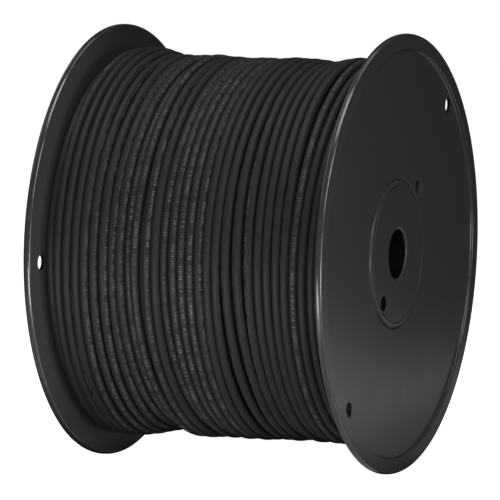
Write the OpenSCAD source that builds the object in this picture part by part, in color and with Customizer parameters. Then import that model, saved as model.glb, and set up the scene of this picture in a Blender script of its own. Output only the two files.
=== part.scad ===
// Plastic cable spool with a wound load of round cable.
// The spool's axis runs along Y, its middle is at the origin, and it stands on its two rims with +Z up.

/* [Flanges] */
// Outer diameter of the two flanges
flange_d = 267; // [240:1:320]
// Width of the spool over both rims
spool_w = 191; // [150:1:240]
// Thickness of a flange's flat web
web_t = 2.6; // [2.4:0.1:3.4]
// Depth of the web below the rim's outer face
recess = 1.9; // [1.4:0.1:2.6]
// How far the web is dished inwards, from the rim to the barrel
web_dish = 2.4; // [0:0.1:2.6]
// Width of the raised rim band, measured along the radius
rim_band = 9.7; // [7:0.1:14]
// Radius of the rim's two outer edges
rim_round = 1.1; // [0.5:0.1:1.5]

/* [Hub] */
// Outer diameter of the barrel that carries the cable
barrel_d = 90; // [84:1:110]
// Wall of the barrel
barrel_wall = 3.4; // [2.5:0.1:4.5]
// Diameter of the hole for the arbor
arbor_bore_d = 30; // [22:1:34]
// Wall of the arbor tube
arbor_wall = 3; // [2:0.5:4]
// Thickness of a hub disc's plate
plate_t = 3.4; // [3.2:0.1:4]
// How far the hub disc stands above the web round it
hub_rise = 1.1; // [0.4:0.1:1.3]
// Radius of the arbor hole's rounded mouth
mouth_round = 1.7; // [0.8:0.1:2]
// Depth of the socket that holds the arbor tube
socket_depth = 12; // [6:1:20]

/* [Holes] */
// Diameter of the tie holes and of the start hole
tie_hole_d = 9.5; // [7.5:0.1:11]
// Distance from the rim band to the middle of a tie hole
tie_inset = 6.4; // [6.2:0.1:12]
// Distance from the barrel's outside to the middle of the start hole
start_inset = 6.8; // [6.8:0.1:12]
// Diameter of the drive hole in a hub disc
drive_hole_d = 9; // [6:0.1:10]
// Direction of the front flange's holes, up from the spool's right
front_turn = 45; // [0:1:359]
// Direction of the front disc's drive hole
front_drive_turn = 228; // [0:1:359]
// Direction of the back flange's holes
back_turn = 0; // [0:1:359]
// Direction of the back disc's drive hole
back_drive_turn = 180; // [0:1:359]

/* [Cable] */
// Outer diameter of the cable
cable_d = 5.7; // [4:0.1:7]
// Wall of the cable's jacket
jacket_t = 0.65; // [0.5:0.05:0.8]
// Diameter over the wound cable
winding_d = 233; // [180:1:234]
// Turns in the outer layer
outer_turns = 24; // [8:1:24]
// How far the turns wander along the spool
wander = 0.5; // [0:0.05:0.5]
// How far the turns rise and dip
ripple = 0.5; // [0:0.1:0.8]

/* [Hidden] */

$fn = 96;
eps = 0.01;

// Colours
reel_black = [0.05, 0.05, 0.055];
barrel_black = [0.07, 0.07, 0.075];
jacket_grey = [0.13, 0.13, 0.135];
wire_orange = [0.85, 0.45, 0.12];
bare_copper = [0.72, 0.38, 0.2];

// Fits
plug_clear = 0.1;       // between a hub disc's plug and the bores that it is pressed into
seat_clear = 0.5;       // groove round a hub disc, in the flange's seat
socket_clear = 0.1;     // between the arbor tube and its socket
core_clear = 0.3;       // between the outer layer and the layers under it
side_clear = 0.5;       // between the outer layer and the flanges

// Flange
flange_r = flange_d / 2;
step_r = flange_r - rim_band;
rim_t = web_t + recess;
inner_face = spool_w / 2 - rim_t;
hub_end = inner_face - web_dish;    // flange's inner face at the barrel
edge_round = 0.5;       // rim band's inner edge
foot_round = 0.7;       // foot of the rim band's step
lip_round = 0.6;        // edge of the hub disc's seat
hole_lip = 0.5;         // broken edge of each hole
hole_over = 0.3;        // cutters reach past the sloping web
seat_floor = 1;         // web left under the hub disc
arc_steps = 4;

// Hub
barrel_r = barrel_d / 2;
barrel_bore_r = barrel_r - barrel_wall;
hub_face = web_t + hub_rise;
hub_round = 1.2;        // edge of the hub disc
seat_r = barrel_r + seat_clear;
plug_r = barrel_bore_r - plug_clear;
plate_back = hub_face - plate_t;
arbor_bore_r = arbor_bore_d / 2;
arbor_r = arbor_bore_r + arbor_wall;
arbor_half = hub_end + plate_back;
socket_r = arbor_r + socket_clear;
socket_wall = 2.6;
plug_wall = 2.4;
plug_depth = 10;
plug_tabs = 6;
tab_angle = 42;
tab_relief = 0.3;       // tabs stand back from the plug's edge
tab_r = plug_r - tab_relief;
rib_t = 2;
rib_depth = 8;
bite = 0.5;             // depth that pieces of one moulding run into each other
barrel_edge = 0.4;

// Holes
tie_hole_r = step_r - tie_inset;
start_hole_r = barrel_r + start_inset;
drive_edge = 0.4;       // plate left between the drive hole and the plug's edge
drive_hole_r = plug_r - drive_hole_d / 2 - drive_edge;

// Cable
cable_r = cable_d / 2;
core_in_r = cable_r - jacket_t;
wind_r = winding_d / 2 - cable_r;
steps_per_turn = 24;
tube_sides = 6;
chord_sag = wind_r * (1 - cos(180 / steps_per_turn));
core_r = wind_r - cable_r - ripple - chord_sag - core_clear;
wind_half = inner_face - cable_r - side_clear - wander;
pitch = 2 * wind_half / (outer_turns - 1);
first_angle = 28;       // direction of the outer layer's first end, on the spool's right
level_share = 0.8;      // share of each turn that runs level before it crosses over to the next
wander_rate = 118;      // degrees of wander for each turn
ripple_rate = 205;      // degrees of ripple for each turn

// Cut ends
end_len = cable_d;
wire_share = 0.2;       // a wire's radius, as a share of the room in the jacket
copper_share = 0.55;    // a conductor's radius, as a share of its wire's
pair_share = 0.57;      // distance of the pairs from the middle, as a share of the room in the jacket
apart_share = 1.05;     // half the distance between a pair's wires, as a share of a wire's radius
wire_r = core_in_r * wire_share;
copper_r = wire_r * copper_share;
pair_r = core_in_r * pair_share;
pair_half = wire_r * apart_share;
pair_count = 4;
pair_angle = 20;        // direction of the first pair
wire_len = 1.2;         // wires shown inside the start end
wire_back = 0.3;        // wires end below the jacket's cut
wire_floor = 0.3;       // wire left behind its conductor
copper_proud = 0.15;    // conductors past the wires
start_drop = 0.9;       // start end below the web's outer face
start_gap = 0.05;       // between the start end and the top of its hole
start_lift = (tie_hole_d - cable_d) / 2 - start_gap;
finish_wire_len = 5;

// Points on an arc, for profiles
function arc(c, r, from, to) =
    [for (i = [0:arc_steps]) let (a = from + (to - from) * i / arc_steps) [c.x + r * cos(a), c.y + r * sin(a)]];

// How far the dished web lies inwards at a distance from the axis
function dish_at(r) = web_dish * (step_r - r) / (step_r - barrel_r);

// Profiles run outwards from the inner face of the rim, and for a hub disc from that of the web's middle
function flange_profile() = concat(
    [[barrel_bore_r, -web_dish], [barrel_r, -web_dish], [step_r, 0]],
    arc([flange_r - rim_round, rim_round], rim_round, -90, 0),
    arc([flange_r - rim_round, rim_t - rim_round], rim_round, 0, 90),
    arc([step_r + edge_round, rim_t - edge_round], edge_round, 90, 180),
    arc([step_r - foot_round, web_t + foot_round], foot_round, 0, -90),
    arc([seat_r + lip_round, web_t - lip_round - dish_at(seat_r + lip_round)], lip_round, 90, 180),
    [[seat_r, seat_floor - web_dish], [barrel_bore_r, seat_floor - web_dish]]);

function disc_profile() = concat(
    [[arbor_bore_r, plate_back], [plug_r, plate_back], [plug_r, seat_floor], [barrel_r, seat_floor]],
    arc([barrel_r - hub_round, hub_face - hub_round], hub_round, 0, 90),
    arc([arbor_bore_r + mouth_round, hub_face - mouth_round], mouth_round, 90, 180));

// Places a piece on the front side: its +Z points outwards and its +Y points up
module front_side() {
    rotate([90, 0, 0])
        translate([0, 0, inner_face])
            children();
}

// The same on the back side, turned half round the vertical
module back_side() {
    rotate([0, 0, 180])
        front_side()
            children();
}

// A hole through the web with a broken edge, at a distance from the axis
module web_hole(d, reach) {
    translate([reach, 0, -dish_at(abs(reach))]) {
        translate([0, 0, -hole_over])
            cylinder(d = d, h = web_t + 2 * hole_over);
        translate([0, 0, web_t - hole_lip])
            cylinder(d1 = d, d2 = d + 2 * (hole_lip + hole_over), h = hole_lip + hole_over);
    }
}

module flange(turn) {
    color(reel_black)
        rotate([0, 0, turn])
            difference() {
                rotate_extrude($fn = 180)
                    polygon(flange_profile());
                for (reach = [-tie_hole_r, tie_hole_r, start_hole_r])
                    web_hole(tie_hole_d, reach);
            }
}

module hub_disc(turn) {
    color(reel_black)
        translate([0, 0, -web_dish])
            rotate([0, 0, turn])
                difference() {
                    union() {
                        rotate_extrude()
                            polygon(disc_profile());
                        arbor_socket();
                        for (i = [0:plug_tabs - 1])
                            rotate([0, 0, (i + 0.5) * 360 / plug_tabs])
                                plug_tab();
                    }
                    translate([drive_hole_r, 0, plate_back - eps])
                        cylinder(d = drive_hole_d, h = plate_t + 2 * eps);
                }
}

// Ring on the back of a hub disc, round the end of the arbor tube
module arbor_socket() {
    translate([0, 0, plate_back - socket_depth])
        difference() {
            cylinder(r = socket_r + socket_wall, h = socket_depth + bite);
            translate([0, 0, -eps])
                cylinder(r = socket_r, h = socket_depth + bite + 2 * eps);
        }
}

// Tab that plugs into the barrel, with the rib that ties it to the socket
module plug_tab() {
    translate([0, 0, plate_back - plug_depth])
        rotate([0, 0, -tab_angle / 2])
            rotate_extrude(angle = tab_angle)
                translate([tab_r - plug_wall, 0])
                    square([plug_wall, plug_depth + bite]);
    translate([socket_r + socket_wall / 2, -rib_t / 2, plate_back - rib_depth])
        cube([tab_r - plug_wall / 2 - socket_r - socket_wall / 2, rib_t, rib_depth + bite]);
}

module front_flange() {
    front_side()
        flange(front_turn);
}

module back_flange() {
    back_side()
        flange(180 - back_turn);
}

module front_hub_disc() {
    front_side()
        hub_disc(front_drive_turn);
}

module back_hub_disc() {
    back_side()
        hub_disc(180 - back_drive_turn);
}

module barrel_tube() {
    color(barrel_black)
        rotate([90, 0, 0])
            rotate_extrude()
                polygon([
                    [barrel_bore_r, -hub_end],
                    [barrel_r - barrel_edge, -hub_end],
                    [barrel_r, -hub_end + barrel_edge],
                    [barrel_r, hub_end - barrel_edge],
                    [barrel_r - barrel_edge, hub_end],
                    [barrel_bore_r, hub_end]]);
}

module arbor_tube() {
    color(barrel_black)
        rotate([90, 0, 0])
            difference() {
                cylinder(r = arbor_r, h = 2 * arbor_half, center = true);
                cylinder(r = arbor_bore_r, h = 2 * arbor_half + 2 * eps, center = true);
            }
}

// All the layers of cable under the outer one, between the two dished webs
module cable_inner_layers() {
    core_end = inner_face - dish_at(core_r);
    color(jacket_grey)
        rotate([90, 0, 0])
            rotate_extrude($fn = 180)
                polygon([[barrel_r, -hub_end], [core_r, -core_end], [core_r, core_end], [barrel_r, hub_end]]);
}

// Route of the outer layer: k counts turns from the front flange to the back one
wind_steps = floor((outer_turns - 1 + level_share) * steps_per_turn);
last_k = wind_steps / steps_per_turn;
last_angle = wind_angle(last_k);
function wind_angle(k) = first_angle + 360 * k;
function wind_reach(k) = wind_r + ripple * sin(ripple_rate * k) * sin(90 * min(1, k, last_k - k));
function crossed(f) = let (u = max(0, f - level_share) / (1 - level_share)) u * u * (3 - 2 * u);
function wind_y(k) = -wind_half + pitch * (floor(k) + crossed(k - floor(k))) + wander * sin(wander_rate * k);
function out_from_axis(a) = [cos(a), 0, sin(a)];
function wind_point(k) = wind_reach(k) * out_from_axis(wind_angle(k)) + [0, wind_y(k), 0];
function along(a) = [-sin(a), 0, cos(a)];
wind_points = [for (i = [0:wind_steps]) wind_point(i / steps_per_turn)];
first_point = wind_points[0] - cable_d * along(first_angle);
last_point = wind_points[wind_steps] + cable_d * along(last_angle);

// One ring of the tube, square to the turn at that angle
function tube_ring(p, a) =
    [for (s = [0:tube_sides - 1])
        p + cable_r * (cos(360 * s / tube_sides) * out_from_axis(a) + [0, sin(360 * s / tube_sides), 0])];

wind_rings = concat(
    [tube_ring(first_point, first_angle)],
    [for (i = [0:wind_steps]) tube_ring(wind_points[i], wind_angle(i / steps_per_turn))],
    [tube_ring(last_point, last_angle)]);

// Closed tube through rings of points, with triangles only
module tube(rings) {
    n = len(rings);
    m = tube_sides;
    last = (n - 1) * m;
    sides = [for (i = [0:n - 2]) for (s = [0:m - 1])
        let (t = (s + 1) % m, a = i * m + s, b = i * m + t)
            each [[a, b, a + m], [b, b + m, a + m]]];
    start_cap = [for (s = [1:m - 2]) [0, s + 1, s]];
    end_cap = [for (s = [1:m - 2]) [last, last + s, last + s + 1]];
    polyhedron(points = [for (r = rings) each r], faces = concat(sides, start_cap, end_cap));
}

// Least gap between neighbouring turns, measured on the route's points
turn_margin = 5;        // steps looked at to either side of one whole turn
near_turn = steps_per_turn - turn_margin;
far_turn = steps_per_turn + turn_margin;
least_gap = min([for (i = [0:wind_steps - near_turn])
    min([for (j = [i + near_turn:min(i + far_turn, wind_steps)]) norm(wind_points[i] - wind_points[j])])]) - cable_d;
echo(least_gap_between_turns = least_gap);  // cable_outer_layer

module cable_outer_layer() {
    color(jacket_grey)
        tube(wind_rings);
}

// A cut end: its +Z points out of the cut, and its jacket runs from z = 0 to the cut
module jacket_end(len, shown) {
    color(jacket_grey)
        difference() {
            cylinder(r = cable_r, h = len, $fn = 48);
            translate([0, 0, len - shown])
                cylinder(r = core_in_r, h = shown + eps, $fn = 48);
        }
}

// Places its children at the two wires of each pair, round the middle of the cable
module at_wires() {
    for (pair = [0:pair_count - 1])
        rotate([0, 0, pair_angle + pair * 360 / pair_count])
            translate([pair_r, 0, 0])
                for (side = [-1, 1])
                    translate([0, side * pair_half, 0])
                        children();
}

module wires(len, shown) {
    color(wire_orange)
        translate([0, 0, len - shown])
            at_wires()
                difference() {
                    cylinder(r = wire_r, h = shown - wire_back, $fn = 24);
                    translate([0, 0, wire_floor])
                        cylinder(r = copper_r, h = shown, $fn = 24);
                }
}

module copper(len, shown) {
    color(bare_copper)
        translate([0, 0, len - shown + wire_floor])
            at_wires()
                cylinder(r = copper_r, h = shown - wire_floor - wire_back + copper_proud, $fn = 24);
}

// The inner end stands in the front flange's start hole, on the layers behind it
start_at = [start_hole_r * cos(front_turn), start_hole_r * sin(front_turn) + start_lift];
start_foot = -dish_at(norm(start_at) + cable_r);
start_len = web_t - dish_at(start_hole_r) - start_drop - start_foot;

module at_start() {
    front_side()
        translate([start_at.x, start_at.y, start_foot])
            children();
}

// The outer end runs on straight from the last turn
module at_finish() {
    translate(last_point)
        rotate([0, -last_angle, 0])
            children();
}

module cable_start_end() {
    at_start()
        jacket_end(start_len, wire_len);
}

module start_insulation() {
    at_start()
        wires(start_len, wire_len);
}

module start_copper() {
    at_start()
        copper(start_len, wire_len);
}

module cable_finish_end() {
    at_finish()
        jacket_end(end_len, finish_wire_len);
}

module finish_insulation() {
    at_finish()
        wires(end_len, finish_wire_len);
}

module finish_copper() {
    at_finish()
        copper(end_len, finish_wire_len);
}

front_flange();
back_flange();
front_hub_disc();
back_hub_disc();
barrel_tube();
arbor_tube();
cable_inner_layers();
cable_outer_layer();
cable_start_end();
start_insulation();
start_copper();
cable_finish_end();
finish_insulation();
finish_copper();
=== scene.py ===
"""Moulded cable spool with a full wound load of round cable.

The file is laid out as an add-on: sizes and colours are properties, every piece has its own operator,
and a panel in the sidebar lists them. Lengths are in metres, the spool's axis runs along Y and the
spool stands on its two rims with +Z up.
"""

import math

import bmesh
import bpy
import numpy as np
from bpy.props import FloatProperty, FloatVectorProperty, IntProperty, PointerProperty
from mathutils import Matrix, Vector


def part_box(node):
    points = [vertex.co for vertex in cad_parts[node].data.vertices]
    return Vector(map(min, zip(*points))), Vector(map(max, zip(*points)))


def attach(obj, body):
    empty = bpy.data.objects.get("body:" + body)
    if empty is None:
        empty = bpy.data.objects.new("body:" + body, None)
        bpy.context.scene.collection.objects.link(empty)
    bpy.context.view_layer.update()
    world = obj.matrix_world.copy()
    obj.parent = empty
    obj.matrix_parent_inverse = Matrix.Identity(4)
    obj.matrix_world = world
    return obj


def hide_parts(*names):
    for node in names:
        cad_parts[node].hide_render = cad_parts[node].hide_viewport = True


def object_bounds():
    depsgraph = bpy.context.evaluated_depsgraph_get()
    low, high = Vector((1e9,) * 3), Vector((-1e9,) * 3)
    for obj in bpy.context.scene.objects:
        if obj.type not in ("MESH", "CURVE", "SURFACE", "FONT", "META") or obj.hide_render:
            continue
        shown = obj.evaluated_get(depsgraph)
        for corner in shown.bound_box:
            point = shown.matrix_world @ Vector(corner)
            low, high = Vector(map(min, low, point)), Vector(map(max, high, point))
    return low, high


bl_info = {
    "name": "Cable Spool",
    "version": (1, 0, 0),
    "blender": (4, 5, 0),
    "location": "View3D > Sidebar > Cable Spool",
    "description": "Builds a moulded cable spool, its wound cable and a small studio",
    "category": "Add Mesh",
}

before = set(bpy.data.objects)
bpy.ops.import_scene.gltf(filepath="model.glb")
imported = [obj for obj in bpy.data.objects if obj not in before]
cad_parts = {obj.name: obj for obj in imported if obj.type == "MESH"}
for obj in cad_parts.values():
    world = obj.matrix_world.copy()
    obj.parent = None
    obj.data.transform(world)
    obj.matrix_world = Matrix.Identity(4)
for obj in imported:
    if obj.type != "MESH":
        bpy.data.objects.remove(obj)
CAD_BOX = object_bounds()

MM = 0.001
# Points nearer to each other than this are one point
WELD = 0.004 * MM
FLANGE_LOW, FLANGE_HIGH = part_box("front_flange")
FINISH_LOW, FINISH_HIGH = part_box("cable_finish_end")
START_LOW, START_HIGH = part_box("cable_start_end")

FLANGE_RADIUS = (FLANGE_HIGH.z - FLANGE_LOW.z) / 2
OUTER_FACE = -FLANGE_LOW.y
# The web is dished: its inner face lies at INNER_FACE by the rim and deeper at the barrel
WEB_DISH = 2.4 * MM
INNER_FACE = WEB_DISH - FLANGE_HIGH.y

# Where the outer layer starts round the axis, in degrees from +X up towards +Z
LAYER_START = 28
# Share of each turn that lies level, before it crosses over to its neighbour's place
LEVEL_SHARE = 0.8
FINISH_AT = LAYER_START + 360 * LEVEL_SHARE


# ---- Properties ----


def length_value(name, description, default):
    """A property that holds a length"""
    return FloatProperty(name=name, description=description, default=default, unit="LENGTH")


def angle_value(name, description, degrees):
    """A property that holds an angle"""
    return FloatProperty(name=name, description=description, default=math.radians(degrees), subtype="ANGLE")


def colour_value(name, description, default):
    """A property that holds a colour"""
    return FloatVectorProperty(
        name=name, description=description, subtype="COLOR", min=0, max=1, default=default
    )


class ReelProperties(bpy.types.PropertyGroup):
    """Sizes and colour of the moulded reel"""

    flange_radius: length_value("Flange radius", "Outer radius of both flanges", FLANGE_RADIUS)
    outer_face: length_value("Outer face", "Distance of the rims' outer faces from the middle", OUTER_FACE)
    inner_face: length_value("Inner face", "Distance of the flanges' inner faces from the middle", INNER_FACE)
    web_thickness: length_value("Web thickness", "Thickness of a flange's flat web", 2.6 * MM)
    web_dish: length_value("Web dish", "How far a web is dished from the rim to the barrel", WEB_DISH)
    barrel_radius: length_value("Barrel radius", "Outer radius of the barrel", 45 * MM)
    rim_band: length_value("Rim band", "Width of the raised band round a flange", 9.7 * MM)
    rim_round: length_value("Rim rounding", "Radius of the rim's outer edges", 1.1 * MM)
    seat_radius: length_value("Seat radius", "Radius of the recess that holds a hub disc", 45.5 * MM)
    barrel_bore: length_value("Barrel bore", "Radius of the opening behind a hub disc", 41.6 * MM)
    disc_radius: length_value("Disc radius", "Outer radius of a hub disc", 45 * MM)
    disc_rise: length_value("Disc rise", "How far a hub disc stands above the web round it", 1.1 * MM)
    disc_plate: length_value("Disc plate", "Thickness of a hub disc's plate", 3.4 * MM)
    plug_radius: length_value("Plug radius", "Radius of the plug on a hub disc's back", 41.5 * MM)
    bore_radius: length_value("Arbor bore", "Radius of the hole for the arbor", 15 * MM)
    mouth_round: length_value("Mouth rounding", "Radius of the arbor hole's mouth", 1.7 * MM)
    tie_hole_radius: length_value("Tie holes", "Radius of the tie holes and of the start hole", 4.75 * MM)
    tie_hole_reach: length_value("Tie hole reach", "Distance of the tie holes from the axis", 117.4 * MM)
    start_hole_reach: length_value("Start hole reach", "Distance of the start hole from the axis", 51.8 * MM)
    drive_hole_radius: length_value("Drive hole", "Radius of the drive hole", 4.5 * MM)
    drive_hole_reach: length_value("Drive hole reach", "Distance of the drive hole from the axis", 36.6 * MM)
    colour: colour_value("Reel colour", "Colour of the moulded reel", (0.054, 0.054, 0.055))


class CableProperties(bpy.types.PropertyGroup):
    """Sizes and colours of the wound cable"""

    radius: length_value("Cable radius", "Outer radius of the cable", 2.85 * MM)
    wound_radius: length_value("Wound radius", "Distance of the outer layer from the axis", 113.65 * MM)
    layer_step: length_value("Layer step", "Height of one layer of turns over the next", 4.9 * MM)
    steps: IntProperty(name="Steps", description="Steps in each turn", default=120, min=24, max=240)
    sides: IntProperty(name="Sides", description="Sides of the cable's round", default=16, min=6, max=32)
    jacket_colour: colour_value("Jacket colour", "Colour of the cable's jacket", (0.018, 0.018, 0.0187))
    print_colour: colour_value("Tick colour", "Colour of the length ticks on the jacket", (0.14, 0.14, 0.143))
    jacket_wall: length_value("Jacket wall", "Thickness of the jacket", 0.65 * MM)
    end_length: length_value("Finish end", "Length of the loose end beside the back flange", 5.7 * MM)


class StudioProperties(bpy.types.PropertyGroup):
    """Camera and lights"""

    azimuth: angle_value("Azimuth", "Direction of the camera round the spool", -67.37)
    elevation: angle_value("Elevation", "Height angle of the camera", 7.4)
    distance: length_value("Distance", "Distance of the camera from the spool", 2.861)
    lens: FloatProperty(name="Lens", description="Focal length", default=336.2, unit="CAMERA")
    power: FloatProperty(name="Power", description="Power of all the lights together", default=1.0, min=0)


# ---- Shaders ----


class Value:
    """A shader socket that Python's arithmetic can be written on"""

    def __init__(self, shader, socket):
        self.shader = shader
        self.socket = socket

    def math(self, operation, *values):
        """A Math node on numbers and sockets"""
        return self.shader.node("ShaderNodeMath", {"operation": operation}, values)

    def __add__(self, other):
        return self.math("ADD", self, other)

    def __radd__(self, other):
        return self.math("ADD", other, self)

    def __sub__(self, other):
        return self.math("SUBTRACT", self, other)

    def __rsub__(self, other):
        return self.math("SUBTRACT", other, self)

    def __mul__(self, other):
        return self.math("MULTIPLY", self, other)

    def __rmul__(self, other):
        return self.math("MULTIPLY", other, self)

    def __truediv__(self, other):
        return self.math("DIVIDE", self, other)

    def __rtruediv__(self, other):
        return self.math("DIVIDE", other, self)

    def __gt__(self, other):
        return self.math("GREATER_THAN", self, other)

    def floor(self):
        return self.math("FLOOR", self)

    def fraction(self):
        return self.math("FRACT", self)

    def size(self):
        return self.math("ABSOLUTE", self)

    def root(self):
        return self.math("SQRT", self)

    def ramp(self, low, high, start=0.0, end=1.0):
        """A smooth step from start at low to end at high"""
        return self.shader.node(
            "ShaderNodeMapRange",
            {"interpolation_type": "SMOOTHSTEP"},
            {"Value": self, "From Min": low, "From Max": high, "To Min": start, "To Max": end},
        )


class Shader:
    """A material under construction"""

    def __init__(self, name):
        self.material = bpy.data.materials.new(name)
        self.material.use_nodes = True
        self.tree = self.material.node_tree
        self.tree.nodes.clear()

    def node(self, kind, settings=None, inputs=(), output=0):
        """A node of that kind: settings are set first, then its sockets take values or links"""
        node = self.tree.nodes.new(kind)
        for key, value in (settings or {}).items():
            setattr(node, key, value)
        pairs = inputs.items() if isinstance(inputs, dict) else enumerate(inputs)
        for key, value in pairs:
            if isinstance(value, Value):
                self.tree.links.new(value.socket, node.inputs[key])
            else:
                node.inputs[key].default_value = value
        return Value(self, node.outputs[output]) if node.outputs else None

    def place(self):
        """Position on the object, in metres"""
        return self.node("ShaderNodeTexCoord", output="Object")

    def axes(self, vector):
        """The three parts of a vector"""
        split = self.node("ShaderNodeSeparateXYZ", {}, [vector])
        return [Value(self, socket) for socket in split.socket.node.outputs]

    def stretched(self, vector, scale):
        """A vector with each of its parts scaled"""
        return self.node("ShaderNodeVectorMath", {"operation": "MULTIPLY"}, [vector, scale])

    def noise(self, vector, scale, detail=2.0, roughness=0.5, distortion=0.0):
        """Soft clouds from 0 to 1"""
        sockets = {"Vector": vector, "Scale": scale, "Detail": detail}
        sockets.update({"Roughness": roughness, "Distortion": distortion})
        return self.node("ShaderNodeTexNoise", {}, sockets)

    def chance(self, value):
        """A random number from 0 to 1 for each whole value"""
        return self.node("ShaderNodeTexWhiteNoise", {"noise_dimensions": "1D"}, {"W": value})

    def cells(self, vector, scale):
        """Distance from the middle of the nearest of many scattered cells"""
        return self.node("ShaderNodeTexVoronoi", {}, {"Vector": vector, "Scale": scale}, output="Distance")

    def mix(self, factor, a, b):
        """Colour a where factor is 0, and b where it is 1"""
        return self.node("ShaderNodeMix", {"data_type": "RGBA"}, {0: factor, 6: a, 7: b}, output=2)

    def bump(self, height, distance, strength=1.0, under=None):
        """A normal that follows a height, on top of another bump if there is one"""
        sockets = {"Height": height, "Distance": distance, "Strength": strength}
        if under is not None:
            sockets["Normal"] = under
        return self.node("ShaderNodeBump", {}, sockets)

    def finish(self, **sockets):
        """Ends the material in one Principled shader, its sockets named with _ for a space"""
        named = {key.replace("_", " "): value for key, value in sockets.items()}
        surface = self.node("ShaderNodeBsdfPrincipled", {}, named)
        self.node("ShaderNodeOutputMaterial", {}, {"Surface": surface})
        return self.material


def opaque(colour, scale=1.0):
    """A colour with full alpha, made lighter or darker"""
    return [min(1.0, part * scale) for part in colour[:3]] + [1.0]


def reel_plastic(props):
    """Black moulded plastic: fine grain, soft flow marks, a few scuffs and dust, with painted shade beside
    the winding and on the rim's outside
    """
    s = Shader("moulded_black")
    place = s.place()
    x, y, z = s.axes(place)
    reach = (x * x + z * z).root()
    flow = s.noise(place, 14.0, 3.0, 0.5)
    grain = s.noise(place, 2600.0, 2.0, 0.6)
    cloud = s.noise(place, 45.0, 4.0, 0.6, 0.4)
    # Long fine scuffs that run up and down the faces
    scuffs = s.noise(s.stretched(place, (1.0, 1.0, 0.04)), 900.0, 2.0, 0.5).ramp(0.66, 0.74)
    scuffs = scuffs * s.noise(place, 30.0, 2.0).ramp(0.52, 0.68)
    # The rim rubs on floors and shelves
    worn = reach.ramp(0.1315, 0.1334) * s.noise(place, 160.0, 4.0, 0.65).ramp(0.50, 0.72)
    dust = s.cells(place, 210.0).ramp(0.030, 0.012) * s.noise(place, 60.0, 1.0).ramp(0.50, 0.62)
    # 1 where the surface faces along the axis, 0 on walls and on the rim's outside
    facing = s.axes(s.node("ShaderNodeTexCoord", output="Normal"))[1].size()
    tread = facing.ramp(0.45, 0.36) * reach.ramp(0.1315, 0.1325)
    # Painted shade: the inner faces are darker next to the winding, where it shades them, and a little
    # rougher there
    winding_shade = y.size().ramp(0.0918, 0.0914) * reach.ramp(0.1225, 0.1165) * reach.ramp(0.098, 0.104)
    dark = opaque(props.colour, 0.90)
    light = opaque(props.colour, 1.10)
    colour = s.mix(flow, dark, light)
    # Painted shade from the winding
    colour = s.mix(winding_shade * 0.5, colour, opaque(props.colour, 0.3))
    # Painted shade: the rim's outside is darkened
    colour = s.mix(tread * 0.5, colour, opaque(props.colour, 0.3))
    colour = s.mix(scuffs * 0.10, colour, opaque((0.20, 0.20, 0.20)))
    colour = s.mix(worn * 0.10, colour, opaque((0.20, 0.20, 0.20)))
    colour = s.mix(dust * 0.35, colour, opaque((0.30, 0.30, 0.29)))
    # Rolling polishes the rim's outside
    rough = 0.25 + cloud * 0.12 + scuffs * 0.12 + worn * 0.10 + dust * 0.3 + winding_shade * 0.15 - tread * 0.12
    swell = s.bump(flow, 0.0012, 0.25)
    skin = s.bump(grain, 0.00004, 0.35, swell)
    return s.finish(Base_Color=colour, Roughness=rough, Normal=skin, IOR=1.48)


def polished_plastic(props):
    """The reel's plastic on its rounded corners, which the mould and handling leave glossy"""
    s = Shader("moulded_black_corner")
    place = s.place()
    cloud = s.noise(place, 70.0, 4.0, 0.6)
    nicks = s.noise(place, 420.0, 3.0, 0.7).ramp(0.60, 0.72)
    colour = s.mix(cloud, opaque(props.colour, 0.5), opaque(props.colour, 0.7))
    rough = 0.12 + cloud * 0.08 + nicks * 0.15
    return s.finish(Base_Color=colour, Roughness=rough, Normal=s.bump(nicks, 0.00008, 0.5), IOR=2.1)


def shade_black_plastic(props):
    """The tubes' plastic and the walls of the holes, painted near black for the shade inside them: dull, with
    drawn lines along the axis
    """
    s = Shader("shade_black")
    place = s.place()
    lines = s.noise(s.stretched(place, (1.0, 0.02, 1.0)), 800.0, 2.0, 0.5)
    cloud = s.noise(place, 40.0, 3.0)
    # Painted shade: far darker than the reel's own colour, for the shade inside holes and tubes
    colour = s.mix(cloud, opaque(props.colour, 0.03), opaque(props.colour, 0.08))
    rough = 0.60 + cloud * 0.15
    skin = s.bump(lines, 0.0001, 0.4)
    return s.finish(Base_Color=colour, Roughness=rough, Normal=skin, IOR=1.48, Specular_IOR_Level=0.15)


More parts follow.
